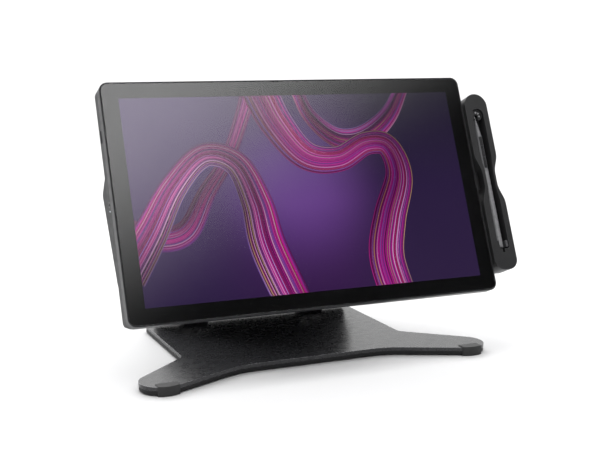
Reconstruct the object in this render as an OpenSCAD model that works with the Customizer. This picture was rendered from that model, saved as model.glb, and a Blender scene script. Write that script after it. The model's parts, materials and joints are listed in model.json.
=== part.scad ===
// Pen drawing tablet: a slim pen display on a folding metal stand, with a pen tray on its right side.
// +X is to the right of the person who draws, +Y is away from them and +Z is up.
// The origin is on the desk, under the middle of the stand's lower hinge.

/* [Display] */
// Width of the lit picture area
picture_w = 382; // [340:1:400]
// Height of the lit picture area
picture_h = 215; // [190:1:222]
// Width of the display's body
body_w = 419; // [415:1:425]
// Height of the display's body
body_h = 250; // [248:1:256]
// Depth of the display's body, from the glass to its back
body_d = 22; // [21.5:0.5:24]
// Radius of the body's four corners
corner_r = 9; // [6:1:14]
// How far the display leans back from upright at rest, in degrees
lean = 22.6; // [21:0.1:24]
// Distance of the picture's centre in front of the lower hinge
screen_reach = 168; // [160:1:176]
// Height of the picture's centre above the desk
screen_z = 185; // [180:1:195]

/* [Base] */
// Height of the base plate's top above the desk
base_top = 9.5; // [9:0.1:10]
// Half the width of the base plate behind its legs
base_half_w = 131; // [126:1:136]
// Distance of each leg tip's centre from the middle
tip_x = 174; // [170:1:182]
// Distance of each leg tip's centre in front of the lower hinge
tip_reach = 202; // [198:1:208]
// Radius of each leg's round tip
tip_r = 23.3; // [21:0.1:25]
// Slope of a leg's front edge, in degrees
leg_front_slope = 25.1; // [22:0.1:27]
// Slope of a leg's rear edge, in degrees
leg_rear_slope = 41.7; // [40:0.1:45]
// Distance of the base's straight front edge in front of the lower hinge
base_front = 186; // [182:1:188]

/* [Stand] */
// Height of the lower hinge's axis above the desk
hinge_z = 20; // [19.5:0.5:22]
// Half the width of the arm at the lower hinge
arm_half_w = 122; // [118:1:124]
// Thickness of the arm plate
arm_t = 8; // [6:0.5:8]
// Radius of both hinge shafts
shaft_r = 4; // [3.5:0.1:4.2]

/* [Tray and pen] */
// Width of the tray at its two ends
tray_w = 29.4; // [29.2:0.1:30]
// Length of the tray
tray_l = 208; // [204:1:212]
// Width of the tray at its waist
waist_w = 16.8; // [16.6:0.1:18]
// Depth of the tray's body
tray_d = 24; // [23:0.5:26]
// Depth of the pen's recess
recess_d = 12.5; // [12.4:0.1:13.5]
// Radius of the pen's barrel
pen_r = 4; // [3.8:0.1:4.1]

/* [Hidden] */
$fn = 64;
// Largest turn between two neighbouring points of a rounded corner, in degrees
arc_step = 6;
// Gap round a key or button in its pocket
key_gap = 0.3;
// Running clearance of a shaft in its bore, and of a shaft held in its own body
run_gap = 0.05;
held_gap = 0.02;
// Amount by which a cutting shape passes the face that it cuts
over = 1;

// --- base ---
tip_y = -tip_reach;
front_y = -base_front;
base_rear_y = 22;
plate_z = 5.8;
underlay_z = 1.6;
rear_corner_r = 14;
inner_corner_r = 12;
front_blend_r = 80;
cap_inset = 1;
cap_half_w = 11.5;
cap_t = 1.2;
cap_lip = 12;
cap_lip_t = 0.8;
rear_foot_size = [180, 14];
block_x = 75;
block_w = 30;
hinge_r = 9;
block_screw_x = 10;
block_screw_r = 2;
screw_head_r = 3.8;
knuckle_gap = 1.2;
washer_t = 0.8;
washer_r = 8;
bush_r = 6;

// --- head and turn bearing, measured back from the glass ---
mount_t = 3.6;
turn_washer_t = 0.8;
disc_t = 4;
disc_r = 42;
spindle_r = 11.95;
retainer_r = 17;
retainer_t = 2;
head_y = 44;
head_z = -5;
head_r = 8.5;
lug_in = 18;
lug_out = 30.6;
upper_half_w = 58;
disc_front = body_d + mount_t + turn_washer_t;
disc_back = disc_front + disc_t;
mount_half = 50;
mount_corner_r = 12;
screw_pitch = 34;

// --- arm, from the lower hinge to the head hinge ---
screen_y = -screen_reach;
head_pos = [screen_y + head_y * cos(lean) + head_z * sin(lean),
            screen_z - head_y * sin(lean) + head_z * cos(lean)];
arm_l = norm(head_pos - [0, hinge_z]);
arm_angle = atan2(head_pos.y - hinge_z, head_pos.x);

// --- display layers, as depths behind the glass's front face ---
half_w = body_w / 2;
half_h = body_h / 2;
rim_t = 1.3;
rim_front = 0.3;
glass_gap = 0.2;
glass_t = 1.1;
seam_y = 12;
seam_gap = 0.2;
// The back's lower edge slopes up from this depth by this much
taper_y = 12.8;
taper_h = 4.2;
wall_t = 2;
web = [7, 8.2];
lcd_y = [1.4, 4.4];
digitizer_y = [4.6, 5.4];
spreader_y = [5.6, 6.8];
back_in = body_d - wall_t;

// --- port bay ---
bay_half_w = 52;
bay_z = [52, 88];
bay_floor = 12;
bay_wall = 1.5;
bay_port_h = 3.4;
// The sockets along the bay's upper wall: x place and width of each
port_list = [[-34, 16], [-8, 9.4], [10, 9.4], [32, 12]];

// --- fan ---
fan_pos = [-115, 60];
fan_half = 24;
fan_y = [9.2, 18.6];
fan_cavity_r = 21;
rotor_r = 19;
rotor_hub_r = 8;
rotor_blades = 11;
// The air slots: in over the fan through the back, and out along the top wall
inlet_pitch = 4.2;
inlet_half = 1.1;
inlet_reach = 15;
outlet_pitch = 9;
outlet_half = 2.5;
outlet_y = [15, 17];

// --- grips and express keys ---
grip_w = 43.5;
grip_top = 31;
grip_apex = [40, 18];
grip_end = -79;
key_size = [20, 3.6, 9.5];
key_pitch = 12.5;
key_travel = 1;
key_proud = 1.2;
key_count = 4;
grip_slope = atan((grip_apex.x - body_d) / (grip_apex.y - grip_end));
key_mid = 0.42;
key_origin = [grip_apex.x - key_mid * (grip_apex.x - body_d),
              grip_apex.y - key_mid * (grip_apex.y - grip_end)];

// --- controls and sockets on the side walls ---
button_z = 72.5;
button_y = 17;
button_half = [2, 6.5];
button_proud = 0.9;
jack_z = 2;
jack_y = 17;
jack_r = 2.9;
jack_bore_r = 1.8;
jack_depth = 13;
lamp_z = -5;
lamp_r = 0.8;
case_screw_r = 1.2;
case_screw_places = [for (x = [-150, 0, 150]) for (z = [-112, 112]) [x, z]];

// --- tray and pen, in the display's own directions ---
tray_x = 227.8;
tray_face = 0;
waist_z = [-24, -8, 12, 28];
recess_x = 228.3;
recess_half = 7.3;
recess_waist_half = 5.4;
liner_t = 0.8;
recess_low = -80;
recess_low_r = 2;
recess_step = [222.9, -70.4];
notch_x = [226, 229];
notch_z = [-84, -78];
notch_d = 9;
tray_low_r = 12;
cup_z = 79;
cup_r = 6.4;
cup_depth = 7;
cup_rim_y = 2.6;
cup_rim_t = 1.2;
cup_floor_y = 3.8;
nib_hole_r = 1.1;
nib_spot_r = 3.4;
nib_slot_half = 2.1;
nib_slot_z = 79.6;
bracket_y = [11, 22];
bracket_z = [-8, 14];
prong_half = 2;
prong_reach = 6;
pen_x = 227.2;
pen_y = 6.6;
pen_z = [-77.8, 78.6];
tail_l = 7;
grip_z = 12;
cone_z = 54;
nib_z = 72.5;
nib_r = 0.9;
core_r = 2.2;
pen_button_x = 1.5;
pen_button_z = [[15.8, 28.4], [29, 41.8], [42.4, 53]];

// ---------- outlines ----------

function unit(v) = v / norm(v);
function flat(p) = [p.x, p.y];
function about(middle, reach) = [middle - reach, middle + reach];

// The points of the arc of radius r that rounds corner b between its neighbours a and c
function corner_arc(a, b, c, r) = r <= 0 ? [b] : let(
    u = unit(a - b), w = unit(c - b), half = acos(u * w) / 2,
    centre = b + unit(u + w) * r / sin(half),
    p = b + u * r / tan(half) - centre, q = b + w * r / tan(half) - centre,
    start = atan2(p.y, p.x), sweep = (atan2(q.y, q.x) - start + 540) % 360 - 180,
    n = max(2, ceil(abs(sweep) / arc_step)))
    [for (i = [0 : n]) centre + r * [cos(start + sweep * i / n), sin(start + sweep * i / n)]];

// A closed outline from corners [x, y, radius]
function rounded(pts) = let(n = len(pts)) [for (i = [0 : n - 1])
    each corner_arc(flat(pts[(i + n - 1) % n]), flat(pts[i]), flat(pts[(i + 1) % n]), pts[i].z)];

// A half outline at +X, given from its lowest corner up, and its mirror image
function mirrored(half) = concat(half, [for (i = [len(half) - 1 : -1 : 0])
    [-half[i].x, half[i].y, half[i].z]]);

function box_outline(hx, y0, y1, r) = rounded(mirrored([[hx, y0, r], [hx, y1, r]]));

// The base seen from above: a straight front edge, two splayed legs with round tips, straight sides
function base_half(inset) = let(
    r = tip_r - inset, wedge = (leg_rear_slope - leg_front_slope) / 2,
    aim = -(leg_rear_slope + leg_front_slope) / 2,
    tip = [tip_x, tip_y] + r / sin(wedge) * [cos(aim), sin(aim)],
    front = front_y + inset, side = base_half_w - inset)
    [[tip.x - (front - tip.y) / tan(leg_front_slope), front, front_blend_r],
     [tip.x, tip.y, r],
     [side, tip.y + (tip.x - side) * tan(leg_rear_slope), inner_corner_r],
     [side, base_rear_y - inset, rear_corner_r]];

module base_outline(inset = 0) { polygon(rounded(mirrored(base_half(inset)))); }

// ---------- placing ----------

// The display's own directions: x right, y back from the glass, z up the glass
module on_screen() { translate([0, screen_y, screen_z]) rotate([-lean, 0, 0]) children(); }

// The arm's own directions: y from the lower hinge to the head hinge
module on_arm() { translate([0, 0, hinge_z]) rotate([arm_angle, 0, 0]) children(); }

// An outline in x and z, made solid from depth y0 to y1
module sheet(pts, y0, y1) { translate([0, y1, 0]) rotate([90, 0, 0]) linear_extrude(y1 - y0) polygon(pts); }

// An outline in y and z, made solid from x0 to x1
module profile(pts, x0, x1) {
    translate([x0, 0, 0]) rotate([90, 0, 90]) linear_extrude(x1 - x0) polygon(pts);
}

module span_box(x, y, z) { translate([x[0], y[0], z[0]]) cube([x[1] - x[0], y[1] - y[0], z[1] - z[0]]); }

// A round bar along X, from x0 to x1
module x_bar(r, x0, x1) { translate([x0, 0, 0]) rotate([0, 90, 0]) cylinder(r = r, h = x1 - x0); }

// A round bar along the display's depth, from y0 to y1
module y_bar(r, y0, y1) { translate([0, y0, 0]) rotate([-90, 0, 0]) cylinder(r = r, h = y1 - y0); }

module both_sides() { for (s = [0, 1]) mirror([s, 0, 0]) children(); }

// ---------- base ----------

module base_plate() {
    color([0.24, 0.24, 0.25]) difference() {
        translate([0, 0, plate_z]) linear_extrude(base_top - plate_z) base_outline();
        block_screw_places()
            translate([0, 0, plate_z - over]) cylinder(r = block_screw_r + 0.1, h = base_top);
    }
}

module base_underlay() {
    color([0.09, 0.09, 0.1]) difference() {
        translate([0, 0, underlay_z]) linear_extrude(plate_z - underlay_z) base_outline(0.3);
        block_screw_places()
            translate([0, 0, underlay_z - over]) cylinder(r = screw_head_r + 0.2, h = plate_z);
    }
}

// A rubber cap that wraps the front of a leg's tip and stands on the desk
module foot_cap(side) {
    color([0.05, 0.05, 0.05]) difference() {
        intersection() {
            translate([side * tip_x, tip_y, 0]) cylinder(r = tip_r + cap_t, h = base_top + cap_lip_t);
            span_box(about(side * (tip_x - cap_inset), cap_half_w),
                     [tip_y - tip_r - 2 * cap_t, tip_y - tip_r + cap_lip], [0, base_top + cap_lip_t]);
        }
        translate([0, 0, underlay_z]) linear_extrude(base_top - underlay_z) base_outline();
    }
}
module foot_cap_left() { foot_cap(-1); }
module foot_cap_right() { foot_cap(1); }

module rear_foot() {
    color([0.05, 0.05, 0.05]) linear_extrude(underlay_z)
        polygon(box_outline(rear_foot_size.x / 2, -rear_foot_size.y / 2, rear_foot_size.y / 2, 6));
}

module block_screw_places() {
    both_sides() for (x = [-block_screw_x, block_screw_x]) translate([block_x + x, 0, 0]) children();
}

// A pedestal on the base plate that holds the lower shaft
module hinge_block(side) {
    color([0.2, 0.2, 0.21]) difference() {
        union() {
            span_box(about(side * block_x, block_w / 2), about(0, hinge_r), [base_top, hinge_z]);
            translate([side * block_x - block_w / 2, 0, hinge_z]) x_bar(hinge_r, 0, block_w);
        }
        translate([side * block_x - block_w, 0, hinge_z]) x_bar(shaft_r + held_gap, 0, 2 * block_w);
        for (x = [-block_screw_x, block_screw_x])
            translate([side * block_x + x, 0, base_top - over]) cylinder(r = block_screw_r + held_gap, h = 6);
    }
}
module hinge_block_left() { hinge_block(-1); }
module hinge_block_right() { hinge_block(1); }

module block_screws() {
    color([0.5, 0.5, 0.52]) block_screw_places() {
        translate([0, 0, underlay_z + 0.2]) cylinder(r = screw_head_r, h = plate_z - underlay_z - 0.2);
        translate([0, 0, plate_z - 0.2]) cylinder(r = block_screw_r, h = 8);
    }
}

module lower_shaft() {
    color([0.6, 0.6, 0.62]) translate([0, 0, hinge_z]) x_bar(shaft_r, -arm_half_w, arm_half_w);
}

module hinge_washers() {
    gap = (knuckle_gap - washer_t) / 2;
    color([0.75, 0.72, 0.62]) translate([0, 0, hinge_z]) both_sides()
        for (x = [block_x - block_w / 2 - knuckle_gap + gap, block_x + block_w / 2 + gap]) difference() {
            x_bar(washer_r, x, x + washer_t);
            x_bar(shaft_r + run_gap, x - over, x + washer_t + over);
        }
}

// ---------- arm ----------

// The arm seen along its thickness: broad at the lower hinge, narrower at the head
function arm_outline() = rounded(mirrored([[arm_half_w, 0, 0], [arm_half_w, 36, 30],
    [upper_half_w + 12, arm_l - 44, 30], [upper_half_w, arm_l - 20, 20], [upper_half_w, arm_l, 0]]));

module arm_plate() {
    block_in = block_x - block_w / 2 - knuckle_gap;
    block_out = block_x + block_w / 2 + knuckle_gap;
    color([0.2, 0.2, 0.21]) on_arm() difference() {
        union() {
            translate([0, 0, -arm_t / 2]) linear_extrude(arm_t) polygon(arm_outline());
            x_bar(hinge_r, -arm_half_w, arm_half_w);
            translate([0, arm_l, 0]) x_bar(head_r, -upper_half_w, upper_half_w);
        }
        x_bar(bush_r + held_gap, -arm_half_w - over, arm_half_w + over);
        translate([0, arm_l, 0]) x_bar(shaft_r + held_gap, -upper_half_w - over, upper_half_w + over);
        both_sides() span_box([block_in, block_out], [-2 * hinge_r, hinge_r + 2],
                              [-2 * hinge_r, 2 * hinge_r]);
        span_box([-lug_out - 0.4, lug_out + 0.4], [arm_l - head_r - 4, arm_l + 2 * head_r],
                 [-2 * head_r, 2 * head_r]);
    }
}

module arm_bushes() {
    inner = block_x - block_w / 2 - knuckle_gap;
    outer = block_x + block_w / 2 + knuckle_gap;
    color([0.7, 0.58, 0.35]) on_arm() both_sides() for (x = [[outer, arm_half_w - 1], [inner - 24, inner]])
        difference() {
            x_bar(bush_r, x[0], x[1]);
            x_bar(shaft_r + run_gap, x[0] - over, x[1] + over);
        }
}

module upper_shaft() {
    color([0.6, 0.6, 0.62]) on_arm() translate([0, arm_l, 0])
        x_bar(shaft_r, -upper_half_w + 0.5, upper_half_w - 0.5);
}

// Discs that close the ends of the head hinge's barrel
module shaft_caps() {
    color([0.1, 0.1, 0.1]) on_arm() translate([0, arm_l, 0]) both_sides()
        x_bar(head_r - 1, upper_half_w, upper_half_w + 1.5);
}

// ---------- head ----------

module head_bracket() {
    color([0.17, 0.17, 0.18]) on_screen() translate([0, 0, head_z]) difference() {
        union() {
            y_bar(disc_r, disc_front, disc_back);
            both_sides() {
                span_box([lug_in, lug_out], [disc_back - over, head_y], [-head_r, head_r]);
                translate([0, head_y, 0]) x_bar(head_r, lug_in, lug_out);
            }
        }
        y_bar(spindle_r + run_gap, disc_front - over, disc_back + over);
        translate([0, head_y, 0]) x_bar(shaft_r + run_gap, -lug_out - over, lug_out + over);
    }
}

module turn_washer() {
    color([0.8, 0.8, 0.78]) on_screen() translate([0, 0, head_z]) difference() {
        y_bar(disc_r - 4, body_d + mount_t, disc_front - 0.1);
        y_bar(spindle_r + 0.3, body_d, disc_front + over);
    }
}

module turn_spindle() {
    color([0.6, 0.6, 0.62]) on_screen() translate([0, 0, head_z])
        y_bar(spindle_r, body_d + mount_t, disc_back + 0.5 + retainer_t + 0.5);
}

module turn_retainer() {
    color([0.5, 0.5, 0.52]) on_screen() translate([0, 0, head_z]) difference() {
        y_bar(retainer_r, disc_back + 0.5, disc_back + 0.5 + retainer_t);
        y_bar(spindle_r + held_gap, disc_back, disc_back + 2 * retainer_t);
    }
}

module mount_screw_places() {
    for (x = [-screw_pitch, screw_pitch]) for (z = [-screw_pitch, screw_pitch])
        translate([x, 0, head_z + z]) children();
}

module mount_plate() {
    color([0.17, 0.17, 0.18]) on_screen() difference() {
        sheet(box_outline(mount_half, head_z - mount_half, head_z + mount_half, mount_corner_r),
              body_d, body_d + mount_t);
        mount_screw_places() {
            y_bar(2.2, body_d - over, body_d + mount_t + over);
            y_bar(3.7, body_d + mount_t - 2, body_d + mount_t + over);
        }
    }
}

module mount_screws() {
    color([0.3, 0.3, 0.3]) on_screen() mount_screw_places() {
        y_bar(3.5, body_d + mount_t - 2, body_d + mount_t - 0.1);
        y_bar(1.95, web[1] + 3, body_d + mount_t - 1.5);
    }
}

// ---------- display ----------

module body_slab(inset, y0, y1) {
    sheet(box_outline(half_w - inset, -half_h + inset, half_h - inset, corner_r - inset), y0, y1);
}

module case_screw_sites() { for (p = case_screw_places) translate([p.x, 0, p.y]) children(); }

// The magnesium frame: the rim round the glass, a web behind the panel, and posts for the case screws
module mid_frame() {
    color([0.13, 0.13, 0.14]) on_screen() difference() {
        union() {
            difference() {
                body_slab(0, rim_front, seam_y);
                body_slab(rim_t, rim_front - over, seam_y + over);
            }
            body_slab(rim_t - 0.1, web[0], web[1]);
            case_screw_sites() y_bar(3.5, web[1] - 0.1, back_in);
        }
        case_screw_sites() y_bar(case_screw_r + held_gap, web[1] + 2, body_d);
    }
}

module cover_glass() { color([0.03, 0.03, 0.04]) on_screen() body_slab(rim_t + glass_gap, 0, glass_t); }

module lcd_panel() {
    color([0.22, 0.14, 0.34]) on_screen()
        sheet(box_outline(picture_w / 2 + 2, -picture_h / 2 - 3, picture_h / 2 + 3, 2), lcd_y[0], lcd_y[1]);
}

module digitizer_board() {
    color([0.1, 0.3, 0.2]) on_screen()
        sheet(box_outline(picture_w / 2 + 4, -picture_h / 2 - 4, picture_h / 2 + 4, 2),
              digitizer_y[0], digitizer_y[1]);
}

module heat_spreader() {
    color([0.7, 0.7, 0.72]) on_screen()
        sheet(box_outline(picture_w / 2, -picture_h / 2, picture_h / 2, 3), spreader_y[0], spreader_y[1]);
}

module bay_box(grow, y0) {
    span_box([-bay_half_w - grow, bay_half_w + grow], [y0, body_d + (grow > 0 ? 0 : over)],
             [bay_z[0] - grow, bay_z[1] + grow]);
}

// The space under the back's sloping lower edge, raised by lift
module taper(lift) {
    z = -half_h + lift;
    profile([[taper_y, z], [body_d + over, z + taper_h * (body_d + over - taper_y) / (body_d - taper_y)],
             [body_d + over, z - body_d], [taper_y, z - body_d]], -half_w - over, half_w + over);
}

// The back: a shallow tray with a port bay, air slots, sockets for the tray's prongs and a button pocket
module rear_cover() {
    color([0.11, 0.11, 0.12]) on_screen() difference() {
        union() {
            difference() {
                body_slab(0, seam_y + seam_gap, body_d);
                difference() {
                    body_slab(wall_t, seam_y - over, back_in);
                    taper(wall_t);
                }
            }
            bay_box(bay_wall, bay_floor - bay_wall);
            mount_screw_places() y_bar(4.5, web[1] + 2, back_in + over / 2);
        }
        taper(0);
        bay_box(0, bay_floor);
        port_places() span_box([-$port.x / 2 - 0.2, $port.x / 2 + 0.2],
                               [$port.y - 0.2, bay_floor + bay_port_h + 0.2],
                               [bay_z[1] - over, bay_z[1] + bay_wall + over]);
        mount_screw_places() y_bar(1.97, web[1] + 1, body_d + over);
        case_screw_sites() {
            y_bar(case_screw_r + 0.1, back_in - over, body_d + over);
            y_bar(2.7, body_d - 1, body_d + over);
        }
        for (i = [-4 : 4])
            span_box(about(fan_pos.x + i * inlet_pitch, inlet_half), [back_in - over, body_d + over],
                     about(fan_pos.y, inlet_reach));
        for (i = [-12 : 12]) if (abs(i) > 5)
            span_box(about(i * outlet_pitch, outlet_half), outlet_y, about(half_h, wall_t + over));
        tray_prong_places(key_gap) span_box([half_w - wall_t - over, half_w + over], $prong_y, $prong_z);
        translate([-half_w - over, jack_y, jack_z]) x_bar(jack_r + 0.05, 0, wall_t + 2 * over);
        translate([-half_w - over, jack_y, lamp_z]) x_bar(lamp_r + 0.05, 0, wall_t + 2 * over);
        button_shape(key_gap, -half_w - over, -half_w + wall_t + over);
    }
}

module port_places() {
    for (p = port_list) let($port = [p[1], bay_floor]) translate([p[0], 0, 0]) children();
}

module port_shells() {
    color([0.62, 0.62, 0.64]) on_screen() port_places() difference() {
        span_box([-$port.x / 2, $port.x / 2], [bay_floor, bay_floor + bay_port_h],
                 [bay_z[1] - 0.6, bay_z[1] + 9]);
        span_box([-$port.x / 2 + 0.5, $port.x / 2 - 0.5], [bay_floor + 0.5, bay_floor + bay_port_h - 0.5],
                 [bay_z[1] - 2, bay_z[1] + 7]);
    }
}

module main_board() {
    color([0.05, 0.28, 0.16]) on_screen() union() {
        span_box([-80, 80], [bay_floor + bay_port_h, bay_floor + bay_port_h + 1.6], [bay_z[1] + 2, 106]);
        for (x = [-60, 48]) span_box([x, x + 14], [bay_floor + 1.4, bay_floor + bay_port_h + 0.2], [92, 104]);
    }
}

module driver_board() {
    color([0.05, 0.28, 0.16]) on_screen() union() {
        span_box([-110, 110], [10, 11.6], [-98, -66]);
        for (x = [-80, -20, 40]) span_box([x, x + 18], [11.4, 13.2], [-92, -74]);
    }
}

// ---------- fan ----------

module at_fan() { translate([fan_pos.x, 0, fan_pos.y]) children(); }

module fan_housing() {
    color([0.08, 0.08, 0.08]) on_screen() at_fan() union() {
        difference() {
            span_box([-fan_half, fan_half], fan_y, [-fan_half, fan_half]);
            y_bar(fan_cavity_r, fan_y[0] + 1.4, fan_y[1] + over);
            span_box([-12, 12], [fan_y[0] + 1.4, fan_y[1] + over], [0, fan_half + over]);
        }
        y_bar(1.5, fan_y[0] + 1, fan_y[1] - 2);
    }
}

module fan_rotor() {
    color([0.16, 0.16, 0.17]) on_screen() at_fan() difference() {
        union() {
            y_bar(rotor_hub_r, fan_y[0] + 2.2, fan_y[1] - 1);
            for (i = [1 : rotor_blades]) rotate([0, i * 360 / rotor_blades, 0])
                span_box([rotor_hub_r - 0.5, rotor_r], [fan_y[0] + 2.2, fan_y[1] - 1.6], [-0.4, 0.4]);
        }
        y_bar(1.5 + run_gap, fan_y[0], fan_y[1] - 1.8);
    }
}

// ---------- grips and keys ----------

module on_keys() { translate([0, key_origin.x, key_origin.y]) rotate([-grip_slope, 0, 0]) children(); }

function key_z(i) = (i - (key_count + 1) / 2) * key_pitch;

module key_block(i, grow, y0, y1) {
    hx = key_size.x / 2 + grow;
    hz = key_size.z / 2 + grow;
    translate([half_w - grip_w / 2, 0, key_z(i)]) sheet(box_outline(hx, -hz, hz, 2.5 + grow), y0, y1);
}

// A wedge on the display's back that the hand holds, with a row of key pockets in its long slope
module grip(side) {
    color([0.1, 0.1, 0.11]) on_screen() mirror([side < 0 ? 1 : 0, 0, 0]) difference() {
        profile(rounded([[body_d, grip_end, 0], [body_d + 1.2, grip_end, 0],
                         [grip_apex.x, grip_apex.y, 6], [body_d, grip_top, 0]]),
                half_w - grip_w, half_w);
        on_keys() for (i = [1 : key_count]) key_block(i, key_gap, -key_size.y - key_travel, over + 4);
    }
}
module grip_left() { grip(-1); }
module grip_right() { grip(1); }

// One express key: a pill-shaped cap that travels along the slope's normal
module express_key(side, i) {
    color([0.2, 0.2, 0.21]) on_screen() mirror([side < 0 ? 1 : 0, 0, 0]) on_keys()
        key_block(i, 0, key_travel + 0.3 - key_size.y, key_proud);
}
module key_left_1() { express_key(-1, 1); }
module key_left_2() { express_key(-1, 2); }
module key_left_3() { express_key(-1, 3); }
module key_left_4() { express_key(-1, 4); }
module key_right_1() { express_key(1, 1); }
module key_right_2() { express_key(1, 2); }
module key_right_3() { express_key(1, 3); }
module key_right_4() { express_key(1, 4); }

// ---------- side controls ----------

// The power button's long round-ended shape in the left wall, from x0 to x1
module button_shape(grow, x0, x1) {
    hy = button_half.x + grow;
    hz = button_half.y + grow;
    profile(rounded([[button_y - hy, button_z - hz, hy - 0.05], [button_y + hy, button_z - hz, hy - 0.05],
                     [button_y + hy, button_z + hz, hy - 0.05], [button_y - hy, button_z + hz, hy - 0.05]]),
            x0, x1);
}

module power_button() {
    color([0.16, 0.16, 0.17]) on_screen() button_shape(0, -half_w - button_proud, -half_w + wall_t + 1);
}

module audio_jack() {
    color([0.05, 0.05, 0.05]) on_screen() translate([-half_w, jack_y, jack_z]) difference() {
        union() {
            x_bar(jack_r, 0, wall_t + 0.5);
            span_box([wall_t + 0.2, wall_t + jack_depth], [-jack_r, jack_r], [-4, 4]);
        }
        x_bar(jack_bore_r, -over, jack_depth);
    }
}

module status_lamp() {
    color([0.75, 0.8, 0.85]) on_screen() translate([-half_w, jack_y, lamp_z]) x_bar(lamp_r, 0, wall_t + 3);
}

module case_screws() {
    color([0.2, 0.2, 0.2]) on_screen() case_screw_sites() {
        y_bar(2.5, body_d - 0.95, body_d - 0.2);
        y_bar(case_screw_r, web[1] + 2.5, body_d - 0.9);
    }
}

// ---------- tray ----------

// The hourglass outline shared by the tray and its recess
function hourglass(wide, narrow, low, high, low_r, high_r) = rounded(mirrored([
    [wide, low, low_r], [wide, waist_z[0], 26], [narrow, waist_z[1], 26],
    [narrow, waist_z[2], 26], [wide, waist_z[3], 26], [wide, high, high_r]]));

module tray_prong_places(grow) {
    for (z = [bracket_z[0] + 5, bracket_z[1] - 5])
        let($prong_y = [jack_y - prong_half - grow, jack_y + prong_half + grow],
            $prong_z = [z - prong_half - grow, z + prong_half + grow]) children();
}

module tray_outline(y0, y1) {
    translate([tray_x, 0, 0])
        sheet(hourglass(tray_w / 2, waist_w / 2, -tray_l / 2, tray_l / 2, tray_low_r, tray_w / 2 - 0.2),
              y0, y1);
}

// The recess for the pen, shrunk by inset on every side
module recess(inset, y0, y1, high, high_r) {
    translate([recess_x, 0, 0])
        sheet(hourglass(recess_half - inset, recess_waist_half - inset, recess_low + inset, high,
                        recess_low_r, high_r), y0, y1);
}

// The block at the recess's lower left that keeps the pen's tail in line
module recess_corner(grow) {
    span_box([recess_x - 2 * recess_half, recess_step.x + grow],
             [tray_face - 2 * over, tray_face + recess_d + over], [recess_low - over, recess_step.y + grow]);
}

module at_cup() { translate([recess_x, 0, cup_z]) children(); }

module tray_body() {
    color([0.2, 0.2, 0.21]) on_screen() difference() {
        tray_outline(tray_face, tray_face + tray_d);
        difference() {
            recess(0, tray_face - over, tray_face + recess_d, cup_z + recess_half, recess_half - 0.1);
            recess_corner(0);
        }
        span_box(notch_x, [tray_face - over, tray_face + notch_d], notch_z);
        at_cup() y_bar(cup_r, tray_face, tray_face + recess_d + cup_depth);
    }
}

module tray_liner() {
    color([0.12, 0.12, 0.13]) on_screen() difference() {
        recess(0.3, tray_face + recess_d - liner_t, tray_face + recess_d, cup_z - cup_r, 1);
        recess_corner(0.3);
    }
}

// The foot that carries the tray, with two prongs that go into the display's side
module tray_bracket() {
    color([0.08, 0.08, 0.08]) on_screen() union() {
        difference() {
            span_box([half_w + 0.3, tray_x], bracket_y, bracket_z);
            tray_outline(tray_face - over, tray_face + tray_d + over);
        }
        tray_prong_places(0) span_box([half_w - prong_reach, half_w + 0.5], $prong_y, $prong_z);
    }
}

module nib_spots() {
    for (i = [0 : 2]) rotate([0, i * 60 - 100, 0]) translate([nib_spot_r, 0, 0]) children();
}

// A round holder for three spare nibs, with a raised rim and a slot that the pen's own nib rests in
module nib_holder() {
    color([0.06, 0.06, 0.06]) on_screen() difference() {
        at_cup() y_bar(cup_r - held_gap, cup_rim_y, tray_face + recess_d + cup_depth);
        at_cup() y_bar(cup_r - cup_rim_t, cup_rim_y - over, cup_floor_y);
        at_cup() nib_spots() y_bar(nib_hole_r, cup_floor_y - over, cup_floor_y + 6);
        span_box(about(pen_x, nib_slot_half), [cup_rim_y - over, pen_y + nib_slot_half],
                 [cup_z - 2 * cup_r, nib_slot_z]);
    }
}

module spare_nibs() {
    color([0.3, 0.3, 0.3]) on_screen() at_cup() nib_spots()
        y_bar(nib_hole_r - held_gap, cup_floor_y - 0.6, cup_floor_y + 6);
}

// A small tab beside the pen's tail that keeps it in the recess
module tray_clip() {
    color([0.3, 0.3, 0.31]) on_screen() span_box([recess_x + recess_half - 2.8, recess_x + recess_half],
        [tray_face + 1.6, tray_face + recess_d - liner_t], [recess_low + recess_low_r + 0.1, recess_step.y]);
}

// ---------- pen ----------

module on_pen() { translate([pen_x, pen_y, 0]) children(); }

module pen_barrel() {
    color([0.33, 0.33, 0.35]) on_screen() on_pen() difference() {
        translate([0, 0, pen_z[0] + tail_l]) cylinder(r = pen_r, h = grip_z - pen_z[0] - tail_l);
        translate([0, 0, pen_z[0] + tail_l - over]) cylinder(r = core_r + 0.1, h = 2 * tray_l);
    }
}

// The window in the pen's grip that the side buttons sit in
module pen_button_pocket() {
    span_box(about(0, pen_button_x + 0.2), [-2 * pen_r, -pen_r + 1.4],
             [pen_button_z[0][0] - 0.2, pen_button_z[2][1] + 0.2]);
}

// The grip and the cone that narrows to the nib
module pen_cone() {
    color([0.3, 0.3, 0.32]) on_screen() on_pen() difference() {
        union() {
            translate([0, 0, grip_z]) cylinder(r = pen_r, h = cone_z - grip_z);
            translate([0, 0, cone_z]) cylinder(r1 = pen_r, r2 = 1.6, h = nib_z - cone_z);
        }
        translate([0, 0, grip_z - over]) cylinder(r = core_r + 0.1, h = 18);
        cylinder(r = nib_r + 0.08, h = 2 * nib_z);
        pen_button_pocket();
    }
}

module pen_core() {
    color([0.1, 0.35, 0.2]) on_screen() on_pen()
        translate([0, 0, pen_z[0] + tail_l + 2]) cylinder(r = core_r, h = grip_z + 12 - pen_z[0] - tail_l);
}

module pen_tail() {
    color([0.22, 0.22, 0.23]) on_screen() on_pen() translate([0, 0, pen_z[0]]) union() {
        cylinder(r1 = pen_r - 0.7, r2 = pen_r, h = 1);
        translate([0, 0, 1]) cylinder(r = pen_r, h = tail_l - 1);
    }
}

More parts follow.
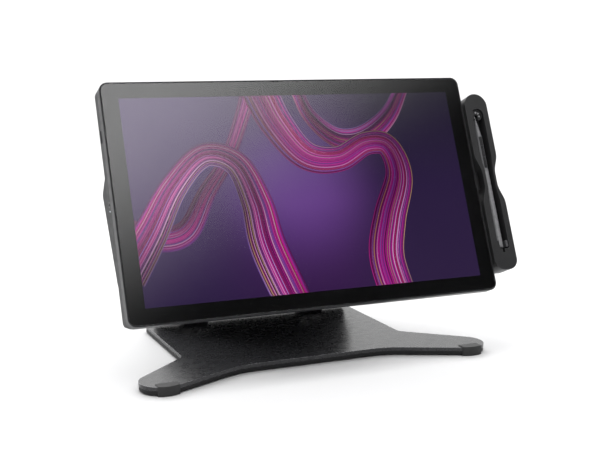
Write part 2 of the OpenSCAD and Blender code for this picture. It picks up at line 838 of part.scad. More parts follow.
module pen_button(i) {
    color([0.12, 0.12, 0.13]) on_screen() on_pen()
        span_box(about(0, pen_button_x), [-pen_r - 0.5, -pen_r + 0.8], pen_button_z[i]);
}
module pen_button_front() { pen_button(2); }
module pen_button_middle() { pen_button(1); }
module pen_button_rear() { pen_button(0); }

module pen_nib() {
    tip = 2.4;
    color([0.15, 0.15, 0.15]) on_screen() on_pen() {
        translate([0, 0, cone_z - 8]) cylinder(r = nib_r, h = pen_z[1] - tip - cone_z + 8);
        translate([0, 0, pen_z[1] - tip]) cylinder(r1 = nib_r, r2 = 0.35, h = tip);
    }
}

base_plate();
base_underlay();
foot_cap_left();
foot_cap_right();
rear_foot();
hinge_block_left();
hinge_block_right();
block_screws();
lower_shaft();
hinge_washers();
arm_plate();
arm_bushes();
upper_shaft();
shaft_caps();
head_bracket();
turn_washer();
turn_spindle();
turn_retainer();
mount_plate();
mount_screws();
rear_cover();
mid_frame();
cover_glass();
lcd_panel();
digitizer_board();
heat_spreader();
main_board();
driver_board();
port_shells();
fan_housing();
fan_rotor();
grip_left();
grip_right();
audio_jack();
status_lamp();
case_screws();
power_button();
key_left_1();
key_left_2();
key_left_3();
key_left_4();
key_right_1();
key_right_2();
key_right_3();
key_right_4();
tray_body();
tray_liner();
tray_bracket();
nib_holder();
spare_nibs();
tray_clip();
pen_barrel();
pen_cone();
pen_core();
pen_tail();
pen_button_front();
pen_button_middle();
pen_button_rear();
pen_nib();
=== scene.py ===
"""Looks of the pen drawing tablet: a lit pen display on a folding stand, with a pen tray at its side."""

import json
import math
import random

import bmesh
import bpy
from mathutils import Matrix, Vector

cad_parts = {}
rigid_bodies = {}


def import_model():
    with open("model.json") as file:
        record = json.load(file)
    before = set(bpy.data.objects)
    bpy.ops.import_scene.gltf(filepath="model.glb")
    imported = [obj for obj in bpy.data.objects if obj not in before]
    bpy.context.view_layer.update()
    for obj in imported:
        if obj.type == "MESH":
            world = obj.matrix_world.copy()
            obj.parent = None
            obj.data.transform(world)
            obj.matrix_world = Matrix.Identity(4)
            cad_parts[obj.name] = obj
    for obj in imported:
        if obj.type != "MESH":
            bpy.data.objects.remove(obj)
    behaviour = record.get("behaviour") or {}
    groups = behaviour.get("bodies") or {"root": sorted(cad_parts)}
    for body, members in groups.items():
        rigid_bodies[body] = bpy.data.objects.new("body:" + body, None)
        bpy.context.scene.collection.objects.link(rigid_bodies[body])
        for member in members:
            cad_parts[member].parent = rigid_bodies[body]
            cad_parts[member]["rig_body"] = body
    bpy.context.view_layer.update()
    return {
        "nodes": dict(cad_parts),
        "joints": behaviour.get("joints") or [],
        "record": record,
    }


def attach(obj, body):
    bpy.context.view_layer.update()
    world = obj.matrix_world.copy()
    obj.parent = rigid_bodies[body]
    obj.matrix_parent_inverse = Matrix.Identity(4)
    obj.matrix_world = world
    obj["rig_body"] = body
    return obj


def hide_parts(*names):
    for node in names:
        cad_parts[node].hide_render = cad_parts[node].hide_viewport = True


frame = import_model()
NODES = frame["nodes"]
MM = 0.001


# ---------- the display's own directions: x right, y back from the glass, z up the glass ----------

def joint(name):
    return next(j for j in frame["joints"] if j["name"] == name)


normal = Vector(joint("screen_turn")["axis"])          # out of the glass, towards the person who draws
LEAN = math.atan2(normal.z, -normal.y)
TURN = Matrix.Rotation(-LEAN, 4, "X")


def turned_box(node):
    """The lowest and highest corner of a CAD node in directions turned with the display."""
    points = [TURN.inverted() @ v.co for v in NODES[node].data.vertices]
    return (Vector([min(p[i] for p in points) for i in range(3)]),
            Vector([max(p[i] for p in points) for i in range(3)]))


glass_low, glass_high = turned_box("cover_glass")
ORIGIN = Vector(((glass_low.x + glass_high.x) / 2, glass_low.y, (glass_low.z + glass_high.z) / 2))
TO_WORLD = TURN @ Matrix.Translation(ORIGIN)
GLASS_MIDDLE = TO_WORLD @ Vector((0, 0, 0))


def local_box(node):
    """A CAD node's box in the display's own directions, in metres from the middle of the glass's front."""
    low, high = turned_box(node)
    return low - ORIGIN, high - ORIGIN


# ---------- camera, lights and floor ----------

LENS_MM, SENSOR_MM, FAR_CLIP = 64.48, 36, 50
CAMERA_FROM_GLASS = Vector((-0.4611, -1.0275, 0.1516))
CAMERA_DOWN, CAMERA_HEADING = 9.48, -23.72                # degrees

# How bright the studio's backdrop is, and as shares of it: the panel overhead in front, the panel overhead
# behind, the dark room and the left wall
BACKDROP = 1.15
FRONT_PANEL = 2.52
BACK_PANEL = 2.4
DARK_ROOM = 0.012
LEFT_WALL = 0.35
# The way towards each part of the studio, and how far along it the part starts and is complete
LIT_SIDE = ((-0.58, 0.50, 0.64), -0.293, -0.058)
TO_FRONT_PANEL = ((0.28, -0.74, 0.61), 0.86, 0.955)
TO_BACK_PANEL = ((0, 0.5, 0.87), 0.65, 0.95)
TO_LEFT_WALL = ((-1, -0.2, 0.1), 0.45, 0.85)

LIGHT_PLACE, LIGHT_AIM, LIGHT_SIZE, LIGHT_WATTS = (-0.2, 0.3, 2.2), (0, -0.1, 0), (1.2, 1.0), 12
FLOOR_REACH = 8
FLOOR_COLOUR = (0.72, 0.72, 0.725, 1)


def set_camera():
    data = bpy.data.cameras.new("camera")
    data.lens = LENS_MM
    data.sensor_width = SENSOR_MM
    data.clip_end = FAR_CLIP
    camera = bpy.data.objects.new("camera", data)
    bpy.context.scene.collection.objects.link(camera)
    camera.location = GLASS_MIDDLE + CAMERA_FROM_GLASS
    camera.rotation_euler = (math.radians(90 - CAMERA_DOWN), 0, math.radians(CAMERA_HEADING))
    bpy.context.scene.camera = camera


def set_light():
    """A soft light overhead."""
    data = bpy.data.lights.new("overhead", "AREA")
    data.shape = "RECTANGLE"
    data.size, data.size_y = LIGHT_SIZE
    data.energy = LIGHT_WATTS
    light = bpy.data.objects.new("overhead", data)
    light.location = LIGHT_PLACE
    light.rotation_euler = (Vector(LIGHT_AIM) - Vector(LIGHT_PLACE)).to_track_quat("-Z", "Y").to_euler()
    bpy.context.scene.collection.objects.link(light)


def set_world():
    """A studio: bright behind and overhead, fading smoothly to a dark room low in front and to the right."""
    world = bpy.data.worlds.new("studio")
    bpy.context.scene.world = world
    world.use_nodes = True
    nodes, links = world.node_tree.nodes, world.node_tree.links
    nodes.clear()
    out = nodes.new("ShaderNodeOutputWorld")
    background = nodes.new("ShaderNodeBackground")
    background.inputs["Color"].default_value = (1, 1, 1, 1)
    place = nodes.new("ShaderNodeTexCoord").outputs["Generated"]
    links.new(background.outputs[0], out.inputs[0])

    def along(direction, start, end, low, high):
        """A tone that goes smoothly from low to high as the view turns towards a direction."""
        dot = nodes.new("ShaderNodeVectorMath")
        dot.operation = "DOT_PRODUCT"
        dot.inputs[1].default_value = direction
        links.new(place, dot.inputs[0])
        node = nodes.new("ShaderNodeMapRange")
        node.interpolation_type = "SMOOTHERSTEP"
        for socket, value in zip(("From Min", "From Max", "To Min", "To Max"), (start, end, low, high)):
            node.inputs[socket].default_value = value
        links.new(dot.outputs["Value"], node.inputs["Value"])
        return node.outputs[0]

    tone = along(*LIT_SIDE, DARK_ROOM, 1.0)
    for factor in (along(*TO_FRONT_PANEL, BACKDROP, BACKDROP * FRONT_PANEL),
                   along(*TO_BACK_PANEL, 1.0, BACK_PANEL),
                   along(*TO_LEFT_WALL, 1.0, LEFT_WALL)):
        product = nodes.new("ShaderNodeMath")
        product.operation = "MULTIPLY"
        links.new(tone, product.inputs[0])
        links.new(factor, product.inputs[1])
        tone = product.outputs[0]
    links.new(tone, background.inputs["Strength"])


def set_floor():
    """A plain pale floor."""
    mesh = bpy.data.meshes.new("floor")
    corners = [(-1, -1), (1, -1), (1, 1), (-1, 1)]
    mesh.from_pydata([(x * FLOOR_REACH, y * FLOOR_REACH, 0) for x, y in corners], [], [(0, 1, 2, 3)])
    floor = bpy.data.objects.new("floor", mesh)
    bpy.context.scene.collection.objects.link(floor)
    material = bpy.data.materials.new("floor")
    material.use_nodes = True
    shader = material.node_tree.nodes["Principled BSDF"]
    shader.inputs["Base Color"].default_value = FLOOR_COLOUR
    shader.inputs["Roughness"].default_value = 0.9
    shader.inputs["Specular IOR Level"].default_value = 0.1
    mesh.materials.append(material)


# ---------- materials ----------

class Surface:
    """A Principled material being built, with short calls for the procedural parts."""

    def __init__(self, name, rough=0.5, metal=0.0, **sockets):
        self.material = bpy.data.materials.new(name)
        self.material.use_nodes = True
        self.nodes = self.material.node_tree.nodes
        self.links = self.material.node_tree.links
        self.shader = self.nodes["Principled BSDF"]
        self.set("Roughness", rough)
        self.set("Metallic", metal)
        for key, value in sockets.items():
            self.set(key.replace("_", " "), value)
        self.place = self.nodes.new("ShaderNodeTexCoord").outputs["Object"]

    def set(self, socket, value):
        self.shader.inputs[socket].default_value = value

    def noise(self, per_metre, detail=2.0, stretch=(1, 1, 1)):
        """Noise of about that many features in a metre."""
        mapping = self.nodes.new("ShaderNodeMapping")
        mapping.inputs["Scale"].default_value = stretch
        self.links.new(self.place, mapping.inputs["Vector"])
        node = self.nodes.new("ShaderNodeTexNoise")
        node.inputs["Scale"].default_value = per_metre
        node.inputs["Detail"].default_value = detail
        self.links.new(mapping.outputs[0], node.inputs["Vector"])
        return node.outputs["Fac"]

    def ramp(self, value, stops):
        node = self.nodes.new("ShaderNodeValToRGB")
        elements = node.color_ramp.elements
        while len(elements) < len(stops):
            elements.new(0.5)
        for element, (position, colour) in zip(elements, stops):
            element.position = position
            element.color = (*colour, 1)
        self.links.new(value, node.inputs["Fac"])
        return node.outputs["Color"]

    def between(self, value, low, high):
        """value's middle range, 0.3 to 0.7, spread from low to high."""
        node = self.nodes.new("ShaderNodeMapRange")
        for socket, number in zip(("From Min", "From Max", "To Min", "To Max"), (0.3, 0.7, low, high)):
            node.inputs[socket].default_value = number
        self.links.new(value, node.inputs["Value"])
        return node.outputs[0]

    def colour(self, value, dark, light):
        self.links.new(self.ramp(value, [(0.3, dark), (0.7, light)]), self.shader.inputs["Base Color"])

    def roughness(self, value, low, high):
        self.links.new(self.between(value, low, high), self.shader.inputs["Roughness"])

    def bump(self, value, depth_mm, strength=1.0):
        node = self.nodes.new("ShaderNodeBump")
        node.inputs["Distance"].default_value = depth_mm * MM
        node.inputs["Strength"].default_value = strength
        self.links.new(value, node.inputs["Height"])
        self.links.new(node.outputs[0], self.shader.inputs["Normal"])


def grained(name, tone, rough, grain_per_metre=1500, depth_mm=0.03, metal=0.0, spread=0.12, **sockets):
    """A moulded or painted surface: a slightly uneven colour, an uneven gloss and a fine grain."""
    surface = Surface(name, rough, metal, **sockets)
    cloud = surface.noise(45, 3)
    surface.colour(cloud, tuple(c * (1 - spread) for c in tone), tuple(c * (1 + spread) for c in tone))
    surface.roughness(surface.noise(160, 4), rough - 0.05, rough + 0.05)
    surface.bump(surface.noise(grain_per_metre, 2), depth_mm, 0.6)
    return surface.material


def brushed(name, tone, rough, stretch=(1, 12, 12)):
    """Bare metal with fine lines along one way."""
    surface = Surface(name, rough, 1.0)
    lines = surface.noise(900, 3, stretch)
    surface.colour(lines, tuple(c * 0.85 for c in tone), tuple(min(c * 1.12, 1) for c in tone))
    surface.roughness(lines, rough - 0.06, rough + 0.08)
    surface.bump(lines, 0.01, 0.4)
    return surface.material


def board_material():
    """Green solder mask with lighter tracks."""
    surface = Surface("board", 0.35)
    tracks = surface.noise(420, 1, (1, 0.2, 3))
    mask, track = (0.01, 0.09, 0.04), (0.03, 0.17, 0.08)
    greens = surface.ramp(tracks, [(0.44, mask), (0.5, track), (0.56, mask)])
    surface.links.new(greens, surface.shader.inputs["Base Color"])
    surface.bump(tracks, 0.05, 0.5)
    return surface.material


def glass_material():
    """Clear cover glass with a faint unevenness in its polish."""
    surface = Surface("cover_glass", 0.02, Transmission_Weight=1.0, IOR=1.5)
    surface.colour(surface.noise(30, 2), (0.97, 0.97, 0.98), (1, 1, 1))
    surface.roughness(surface.noise(60, 3), 0.015, 0.035)
    return surface.material


PICTURE_W, PICTURE_H = 382 * MM, 215 * MM
# The picture's backdrop, as tones up its left, middle and right
BACKDROP_LEFT = [(0.0, (0.024, 0.012, 0.052)), (0.5, (0.052, 0.024, 0.098)), (1.0, (0.062, 0.033, 0.112))]
BACKDROP_MIDDLE = [(0.0, (0.034, 0.010, 0.062)), (0.45, (0.064, 0.020, 0.110)), (1.0, (0.046, 0.028, 0.076))]
BACKDROP_RIGHT = [(0.0, (0.026, 0.013, 0.052)), (0.5, (0.022, 0.011, 0.047)), (1.0, (0.015, 0.012, 0.026))]
# The glow in it: its tones, its middle in shares of the sides, and its reach as a share of its height
GLOW_TONES = [(0.3, (0.050, 0.020, 0.105)), (0.7, (0.072, 0.034, 0.135))]
GLOW_MIDDLE = (0.47, 0.52)
GLOW_REACH = 0.55
PICTURE_STRENGTH = 1.05


def picture_material():
    """The picture's backdrop: a violet glow in the middle, navy at the right and dim at the bottom left."""
    surface = Surface("screen_picture", 0.6, Specular_IOR_Level=0.0)
    surface.set("Base Color", (0, 0, 0, 1))
    place = surface.nodes.new("ShaderNodeUVMap").outputs["UV"]
    split = surface.nodes.new("ShaderNodeSeparateXYZ")
    surface.links.new(place, split.inputs[0])

    def smooth(value, start, end, low=0.0, high=1.0):
        node = surface.nodes.new("ShaderNodeMapRange")
        node.interpolation_type = "SMOOTHERSTEP"
        for socket, number in zip(("From Min", "From Max", "To Min", "To Max"), (start, end, low, high)):
            node.inputs[socket].default_value = number
        surface.links.new(value, node.inputs["Value"])
        return node.outputs[0]

    def mix(factor, a, b, blend="MIX"):
        node = surface.nodes.new("ShaderNodeMix")
        node.data_type = "RGBA"
        node.blend_type = blend
        for socket, value in (("Factor", factor), ("A", a), ("B", b)):
            target = next(s for s in node.inputs if s.name == socket and s.enabled)
            if isinstance(value, (int, float)):
                target.default_value = value
            elif isinstance(value, tuple):
                target.default_value = (*value, 1)
            else:
                surface.links.new(value, target)
        return next(s for s in node.outputs if s.enabled)

    left, middle, right = (surface.ramp(split.outputs["Y"], stops)
                           for stops in (BACKDROP_LEFT, BACKDROP_MIDDLE, BACKDROP_RIGHT))
    field = mix(smooth(split.outputs["X"], 0.1, 0.5), left, middle)
    field = mix(smooth(split.outputs["X"], 0.5, 0.85), field, right)
    scaled = surface.nodes.new("ShaderNodeVectorMath")
    scaled.operation = "MULTIPLY"
    aspect = PICTURE_W / PICTURE_H
    scaled.inputs[1].default_value = (aspect, 1, 0)
    surface.links.new(place, scaled.inputs[0])
    distance = surface.nodes.new("ShaderNodeVectorMath")
    distance.operation = "DISTANCE"
    distance.inputs[1].default_value = (GLOW_MIDDLE[0] * aspect, GLOW_MIDDLE[1], 0)
    surface.links.new(scaled.outputs[0], distance.inputs[0])
    glow = smooth(distance.outputs["Value"], GLOW_REACH, 0.0)
    cloud = surface.nodes.new("ShaderNodeTexNoise")
    cloud.inputs["Scale"].default_value = 1.8
    cloud.inputs["Detail"].default_value = 2
    surface.links.new(place, cloud.inputs["Vector"])
    glow_colour = surface.ramp(cloud.outputs["Fac"], GLOW_TONES)
    field = mix(1.0, field, mix(glow, (0, 0, 0), glow_colour), "ADD")
    surface.links.new(field, surface.shader.inputs["Emission Color"])
    surface.set("Emission Strength", PICTURE_STRENGTH)
    return surface.material


# Colours of the ribbons' threads, the broad ones first and then the fine ones; a thread's UV picks one
BROAD_THREADS = [(0.100, 0.008, 0.095), (0.230, 0.010, 0.150), (0.430, 0.014, 0.250), (0.520, 0.022, 0.270),
                 (0.180, 0.030, 0.240), (0.300, 0.012, 0.110)]
FINE_THREADS = [(0.560, 0.200, 0.520), (0.620, 0.340, 0.560), (0.480, 0.300, 0.130), (0.250, 0.120, 0.520),
                (0.070, 0.006, 0.060), (0.060, 0.010, 0.110)]
THREAD_COLOURS = BROAD_THREADS + FINE_THREADS
# How often each of them comes up among its own kind
BROAD_SHARES = [3, 4, 6, 4, 3, 2]
FINE_SHARES = [4, 2, 2, 3, 4, 3]


def ribbon_material():
    """Lit threads: the UV's x picks a thread's colour, and its y how brightly the fold lights it."""
    surface = Surface("screen_ribbons", 0.6, Specular_IOR_Level=0.0)
    surface.set("Base Color", (0, 0, 0, 1))
    split = surface.nodes.new("ShaderNodeSeparateXYZ")
    surface.links.new(surface.nodes.new("ShaderNodeUVMap").outputs["UV"], split.inputs[0])
    stops = [(i / len(THREAD_COLOURS), colour) for i, colour in enumerate(THREAD_COLOURS)]
    hue = surface.ramp(split.outputs["X"], stops)
    hue.node.color_ramp.interpolation = "CONSTANT"
    shade = surface.ramp(split.outputs["Y"], [(0, (0.06, 0.03, 0.09)), (1, (1.25, 1.25, 1.25))])
    mix = surface.nodes.new("ShaderNodeMix")
    mix.data_type = "RGBA"
    mix.blend_type = "MULTIPLY"
    mix.inputs["Factor"].default_value = 1.0
    surface.links.new(hue, mix.inputs["A"])
    surface.links.new(shade, mix.inputs["B"])
    surface.links.new(mix.outputs["Result"], surface.shader.inputs["Emission Color"])
    surface.set("Emission Strength", 1.0)
    return surface.material


def lamp_material():
    surface = Surface("status_lamp", 0.3)
    surface.colour(surface.noise(900, 1), (0.5, 0.55, 0.6), (0.7, 0.75, 0.8))
    surface.set("Emission Color", (0.8, 0.9, 1.0, 1))
    surface.set("Emission Strength", 0.6)
    return surface.material


LOOKS = {
    "stand_metal": grained("gunmetal_paint", (0.030, 0.030, 0.033), 0.28, 2600, 0.0008, spread=0.05,
                           Specular_IOR_Level=0.45),
    "stand_arm_metal": grained("black_paint", (0.026, 0.026, 0.028), 0.34, 2600, 0.002),
    "base_underlay": grained("underlay_plastic", (0.010, 0.010, 0.011), 0.55, 1800, 0.01,
                             Specular_IOR_Level=0.3),
    "foot_rubber": grained("black_rubber", (0.013, 0.013, 0.014), 0.55, 1300, 0.02),
    "screw_steel": brushed("black_oxide", (0.12, 0.12, 0.13), 0.4),
    "shaft_steel": brushed("ground_steel", (0.58, 0.58, 0.60), 0.25),
    "washer_plastic": grained("washer_plastic", (0.55, 0.53, 0.46), 0.5, 900, 0.02),
    "bush_bronze": brushed("sintered_bronze", (0.52, 0.36, 0.18), 0.45, (1, 1, 1)),
    "head_metal": grained("head_paint", (0.026, 0.026, 0.028), 0.36, 2600, 0.002),
    "dark_plastic": grained("dark_plastic", (0.012, 0.012, 0.013), 0.5, 1500, 0.01),
    "rear_plastic": grained("rear_plastic", (0.017, 0.017, 0.018), 0.5, 1600, 0.012, Specular_IOR_Level=0.3),
    "rim_metal": grained("rim_metal", (0.016, 0.016, 0.018), 0.38, 3000, 0.003, Specular_IOR_Level=0.3),
    "cover_glass": glass_material(),
    "panel": grained("panel_edge", (0.010, 0.010, 0.012), 0.3, 900, 0.01),
    "board": board_material(),
    "spreader_aluminium": brushed("mill_aluminium", (0.62, 0.62, 0.64), 0.35),
    "port_metal": brushed("plated_steel", (0.60, 0.60, 0.62), 0.25),
    "grip_plastic": grained("grip_plastic", (0.018, 0.018, 0.019), 0.55, 1300, 0.03, Specular_IOR_Level=0.35),
    "jack_plastic": grained("jack_plastic", (0.006, 0.006, 0.007), 0.25, 900, 0.01),
    "lamp": lamp_material(),
    "key_plastic": grained("key_plastic", (0.040, 0.040, 0.044), 0.42, 1800, 0.012),
    "tray_plastic": grained("tray_plastic", (0.022, 0.022, 0.023), 0.42, 1800, 0.010, Specular_IOR_Level=0.3),
    "tray_rubber": grained("tray_rubber", (0.010, 0.010, 0.011), 0.7, 1100, 0.03, Specular_IOR_Level=0.3),
    "clip_plastic": grained("clip_plastic", (0.075, 0.075, 0.08), 0.35, 1500, 0.01),
    "nib_plastic": grained("nib_plastic", (0.300, 0.300, 0.310), 0.4, 2000, 0.005),
    "pen_plastic": grained("pen_plastic", (0.195, 0.195, 0.203), 0.28, 2400, 0.003, spread=0.05),
    "pen_soft": grained("pen_soft", (0.150, 0.150, 0.158), 0.36, 2200, 0.006, spread=0.05),
    "pen_inner": board_material(),
    "pen_key": grained("pen_key", (0.014, 0.014, 0.016), 0.3, 2000, 0.005),
}
BLACK_PRINT = grained("black_print", (0.0045, 0.0045, 0.005), 0.7, 1500, 0.002, Specular_IOR_Level=0.0)
# Bright edges: bare metal cut bright on the rounded edges of the metal plate and on the rim's chamfer; on the
# moulded tray and nib holder, a glossier rubbed plastic whose lighter colour than the tray's is a painted
# highlight along the rounded edges
METAL_EDGE = brushed("metal_edge", (0.42, 0.42, 0.44), 0.3)
RIM_EDGE = brushed("rim_edge", (0.62, 0.62, 0.64), 0.25)
GLOSSY_EDGE_PAINTED_HIGHLIGHT = grained("glossy_edge_painted_highlight", (0.050, 0.050, 0.053), 0.26, 1800, 0.004, Specular_IOR_Level=0.8)
SLOT_OF = {s["node"]: s["material_slot"] for s in frame["record"]["subparts"]}


# ---------- pieces ----------

RIM_CHAMFER = 0.5 * MM
HARD_EDGE = 35                                            # degrees; a sharper edge is hard, and is rounded


def new_piece(name, bm, material, body):
    """A finished piece from a bmesh in the frame's own metres, shaded smooth across all but hard edges."""
    mesh = bpy.data.meshes.new(name)
    bm.to_mesh(mesh)
    bm.free()
    if "custom_normal" in mesh.attributes:
        mesh.attributes.remove(mesh.attributes["custom_normal"])
    mesh.shade_smooth()
    mesh.set_sharp_from_angle(angle=math.radians(HARD_EDGE))
    mesh.materials.clear()
    mesh.materials.append(material)
    piece = bpy.data.objects.new(name, mesh)
    bpy.context.scene.collection.objects.link(piece)
    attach(piece, body)
    return piece


def soften(piece, width_mm, segments=3, edge_look=None):
    """Rounds a piece's hard edges, and keeps its flat faces flat; the rounding may have a look of its own."""
    bevel = piece.modifiers.new("round", "BEVEL")
    bevel.width = width_mm * MM
    bevel.segments = segments
    bevel.limit_method = "ANGLE"
    bevel.angle_limit = math.radians(HARD_EDGE)
    bevel.harden_normals = True
    bevel.miter_outer = "MITER_ARC"
    if edge_look:
        piece.data.materials.append(edge_look)
        bevel.material = len(piece.data.materials) - 1
    return piece


def clean_copy(node):
    """A CAD node's faces as a bmesh, with its flat faces whole again."""
    bm = bmesh.new()
    bm.from_mesh(NODES[node].data)
    bmesh.ops.remove_doubles(bm, verts=bm.verts, dist=2e-6)
    bmesh.ops.dissolve_limit(bm, angle_limit=math.radians(1), verts=bm.verts, edges=bm.edges)
    return bm


def finished(node, bm):
    """The piece that stands for a CAD node."""
    piece = new_piece(node + "_finished", bm, LOOKS[SLOT_OF[node]], NODES[node]["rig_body"])
    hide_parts(node)
    return piece


def refined(node, width_mm, edge_look=None):
    """A copy of a CAD node with clean flat faces and rounded edges, which stands for the node."""
    return soften(finished(node, clean_copy(node)), width_mm, edge_look=edge_look)


def make_rim():
    """The frame round the glass, with a bright chamfer cut along the front of its outer edge."""
    bm = clean_copy("mid_frame")
    outer = []
    for edge in bm.edges:
        if len(edge.link_faces) != 2:
            continue
        wall, front = sorted(edge.link_faces, key=lambda f: f.normal.dot(normal))
        place = (edge.verts[0].co + edge.verts[1].co) / 2 - GLASS_MIDDLE
        faces_front = front.normal.dot(normal) > 0.99
        if faces_front and abs(wall.normal.dot(normal)) < 0.1 and wall.normal.dot(place) > 0.05:
            outer.append(edge)
    bmesh.ops.bevel(bm, geom=outer, offset=RIM_CHAMFER, segments=1, affect="EDGES", material=1)
    rim = finished("mid_frame", bm)
    rim.data.materials.append(RIM_EDGE)
    return soften(rim, 0.12, segments=2)


def quad_strip(bm, left, right, uv_layer=None, left_uvs=None, right_uvs=None):
    """Quads between two rows of points, with one UV for each point of a row."""
    rows = [[bm.verts.new(p) for p in row] for row in (left, right)]
    for i in range(len(left) - 1):
        face = bm.faces.new((rows[0][i], rows[1][i], rows[1][i + 1], rows[0][i + 1]))
        if uv_layer:
            for loop, uv in zip(face.loops, (left_uvs[i], right_uvs[i], right_uvs[i + 1], left_uvs[i + 1])):
                loop[uv_layer].uv = uv


# --- the lit picture ---

glass_back = local_box("cover_glass")[1].y
panel_front = local_box("lcd_panel")[0].y


# Where the flat layers between the glass and the panel lie: the picture in front of the panel, the print
# behind the glass, and the backmost and frontmost ribbon between them
PICTURE_DEPTH = panel_front - 0.02 * MM
PRINT_DEPTH = glass_back + 0.03 * MM
RIBBONS_BACK, RIBBONS_FRONT = panel_front - 0.06 * MM, glass_back + 0.07 * MM
SAME_POINT = 1e-6


def on_glass(x, z, depth):
    """A point of the display, by its place on the glass and its depth behind the glass's front."""
    return TO_WORLD @ Vector((x, depth, z))


def make_picture():
    """The lit picture's backdrop, one flat face in front of the panel."""
    bm = bmesh.new()
    layer = bm.loops.layers.uv.new("UVMap")
    corners = [(-1, -1), (1, -1), (1, 1), (-1, 1)]
    points = [on_glass(x * PICTURE_W / 2, z * PICTURE_H / 2, PICTURE_DEPTH) for x, z in corners]
    face = bm.faces.new([bm.verts.new(point) for point in points])
    for loop, (x, z) in zip(face.loops, corners):
        loop[layer].uv = ((x + 1) / 2, (z + 1) / 2)
    new_piece("screen_picture", bm, picture_material(), "display")


def smooth_path(points, count):
    """Points along a Catmull-Rom curve through the given ones."""
    ends = [2 * points[0] - points[1], *points, 2 * points[-1] - points[-2]]
    path = []
    for i in range(count):
        t = i / (count - 1) * (len(points) - 1)
        k = min(int(t), len(points) - 2)
        t -= k
        a, b, c, d = ends[k:k + 4]
        path.append(0.5 * ((2 * b) + (c - a) * t + (2 * a - 5 * b + 4 * c - d) * t * t
                           + (3 * b - a - 3 * c + d) * t ** 3))
    return path


# Each ribbon: its middle line on the picture in mm from the centre, its half width in mm, how many threads
# it has, where along it the ribbon is broadest and brightest, and how bright it is
RIBBONS = [
    ([(-205, -26), (-170, -40), (-138, -34), (-112, 4), (-84, 40), (-56, 96), (-48, 120)], 13, 34, 0.2, 0.7),
    ([(4, 120), (16, 84), (44, 58), (76, 58), (112, 82), (140, 122)], 13, 34, 0.55, 0.7),
    ([(-205, -74), (-176, -34), (-146, 12), (-110, 44), (-76, 34), (-60, -8), (-54, -56), (-34, -120)],
     21, 58, 0.92, 1.0),
    ([(-40, 122), (-24, 78), (4, 40), (42, 34), (78, 50), (104, 46), (112, 12), (92, -34), (80, -76),
      (86, -122)], 22, 60, 0.95, 1.0),
]
STEPS = 110                                               # points along a ribbon
SEED = 17


def make_ribbons():
    """Flat bands of fine lit threads in front of the picture's backdrop, each band in a layer of its own."""
    rng = random.Random(SEED)
    bm = bmesh.new()
    layer = bm.loops.layers.uv.new("UVMap")
    for number, (points, half_width, threads, fold_at, brightness) in enumerate(RIBBONS):
        depth = RIBBONS_BACK + (RIBBONS_FRONT - RIBBONS_BACK) * number / (len(RIBBONS) - 1)
        line = smooth_path([Vector(p) for p in points], STEPS)
        fine = [rng.random() < 0.5 for _ in range(threads)]
        widths = [rng.uniform(0.25, 0.6) if f else rng.uniform(0.6, 1.9) for f in fine]
        edges = [0.0]
        for width in widths:
            edges.append(edges[-1] + width)
        edges = [2 * e / edges[-1] - 1 for e in edges]
        waves = [(rng.uniform(0.004, 0.02), rng.uniform(3, 8), rng.uniform(0, math.tau)) for _ in edges]
        hues = [len(BROAD_THREADS) + rng.choices(range(len(FINE_THREADS)), FINE_SHARES)[0] if f
                else rng.choices(range(len(BROAD_THREADS)), BROAD_SHARES)[0] for f in fine]
        lights = [rng.uniform(0.6, 1.0) for _ in range(threads)]

        def place(i, k):
            """The point on edge k of the threads, at step i along the ribbon."""
            ahead = line[min(i + 1, STEPS - 1)] - line[max(i - 1, 0)]
            side = Vector((-ahead.y, ahead.x)).normalized()
            along = i / (STEPS - 1)
            size, rate, phase = waves[k]
            across = edges[k] + (size * math.sin(rate * along + phase) if 0 < k < threads else 0)
            width = half_width * (0.80 + 0.20 * math.cos(math.tau * (along - fold_at)))
            q = line[i] + side * across * width
            return Vector((min(max(q.x * MM, -PICTURE_W / 2), PICTURE_W / 2),
                           min(max(q.y * MM, -PICTURE_H / 2), PICTURE_H / 2)))

        for k in range(threads):
            hue = (hues[k] + 0.5) / len(THREAD_COLOURS)
            rows, shades = ([], [], []), ([], [], [])
            for i in range(STEPS):
                a, b = place(i, k), place(i, k + 1)
                along = i / (STEPS - 1)
                across = (edges[k] + edges[k + 1]) / 2
                fold = 0.68 + 0.32 * math.cos(math.tau * (1.5 * (along - fold_at)) + 1.1 * across)
                light = brightness * lights[k] * fold
                for row, shade, point, share in zip(rows, shades, (a, (a + b) / 2, b), (0.62, 1.0, 0.62)):
                    row.append(on_glass(point.x, point.y, depth))
                    shade.append((hue, min(light * share, 1)))
            for side in (0, 1):
                quad_strip(bm, rows[side], rows[side + 1], layer, shades[side], shades[side + 1])
    bmesh.ops.dissolve_degenerate(bm, dist=SAME_POINT, edges=bm.edges)
    new_piece("screen_ribbons", bm, ribbon_material(), "display")


def rounded_loop(half_x, half_z, radius, steps=8):
    """Points of a rounded rectangle, anticlockwise."""
    points = []
    for turn, (sx, sz) in enumerate([(1, 1), (-1, 1), (-1, -1), (1, -1)]):
        for i in range(steps + 1):
            angle = math.pi / 2 * (turn + i / steps)
            points.append((sx * (half_x - radius) + radius * math.cos(angle),
                           sz * (half_z - radius) + radius * math.sin(angle)))
    return points


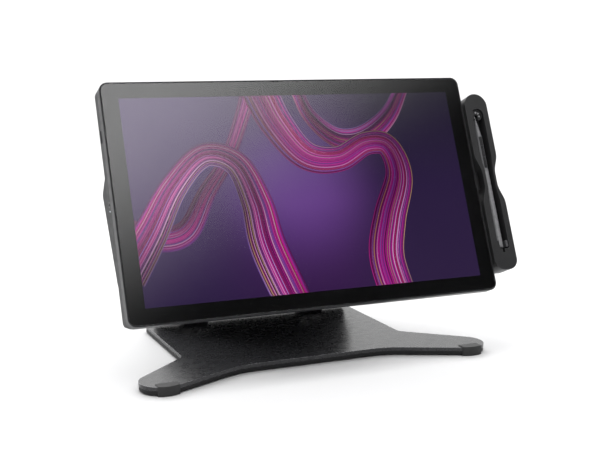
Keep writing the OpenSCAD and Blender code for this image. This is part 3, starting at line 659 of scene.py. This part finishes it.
def make_black_print():
    """The black border printed on the glass's back, round the lit picture."""
    margin, outer_radius, inner_radius = 0.4 * MM, 7 * MM, 0.4 * MM
    half_x = (glass_high.x - glass_low.x) / 2 - margin
    half_z = (glass_high.z - glass_low.z) / 2 - margin
    outer = rounded_loop(half_x, half_z, outer_radius)
    inner = rounded_loop(PICTURE_W / 2, PICTURE_H / 2, inner_radius)
    bm = bmesh.new()
    quad_strip(bm, [on_glass(x, z, PRINT_DEPTH) for x, z in inner + inner[:1]],
               [on_glass(x, z, PRINT_DEPTH) for x, z in outer + outer[:1]])
    bmesh.ops.remove_doubles(bm, verts=bm.verts, dist=SAME_POINT)
    new_piece("black_print", bm, BLACK_PRINT, "display")


# ---------- build ----------

set_camera()
set_world()
set_floor()
bpy.context.scene.view_settings.view_transform = "Standard"
set_light()

make_picture()
make_ribbons()
make_black_print()

make_rim()

# How far each node's edges are rounded, in mm, and the look of the rounding where it has one of its own
SOFT_EDGES = {
    "base_plate": (0.5, METAL_EDGE), "base_underlay": (0.4, None), "foot_cap_left": (0.5, None),
    "foot_cap_right": (0.5, None), "rear_foot": (0.4, None),
    "hinge_block_left": (0.8, None), "hinge_block_right": (0.8, None), "arm_plate": (0.9, None),
    "shaft_caps": (0.5, None), "head_bracket": (0.6, None), "mount_plate": (0.6, None),
    "turn_retainer": (0.3, None), "rear_cover": (0.35, None), "cover_glass": (0.18, None),
    "grip_left": (1.0, None), "grip_right": (1.0, None), "audio_jack": (0.3, None),
    "power_button": (0.4, None),
    # the tray's and the nib holder's rounded edges: glossier plastic, its lighter colour a painted highlight
    "tray_body": (0.9, GLOSSY_EDGE_PAINTED_HIGHLIGHT), "tray_bracket": (0.5, None), "tray_clip": (0.4, None),
    "nib_holder": (0.25, GLOSSY_EDGE_PAINTED_HIGHLIGHT), "pen_barrel": (0.12, None), "pen_cone": (0.1, None),
    "pen_tail": (0.5, None), "pen_button_front": (0.35, None), "pen_button_middle": (0.35, None),
    "pen_button_rear": (0.35, None), "port_shells": (0.15, None),
}
SOFT_EDGES.update({f"key_{side}_{i}": (0.5, None) for side in ("left", "right") for i in range(1, 5)})
for node_name, (rounding, edge_look) in SOFT_EDGES.items():
    refined(node_name, rounding, edge_look)

for node_name, node_object in NODES.items():
    if node_name not in SOFT_EDGES and node_name != "mid_frame":
        node_object.data.materials.clear()
        node_object.data.materials.append(LOOKS[SLOT_OF[node_name]])
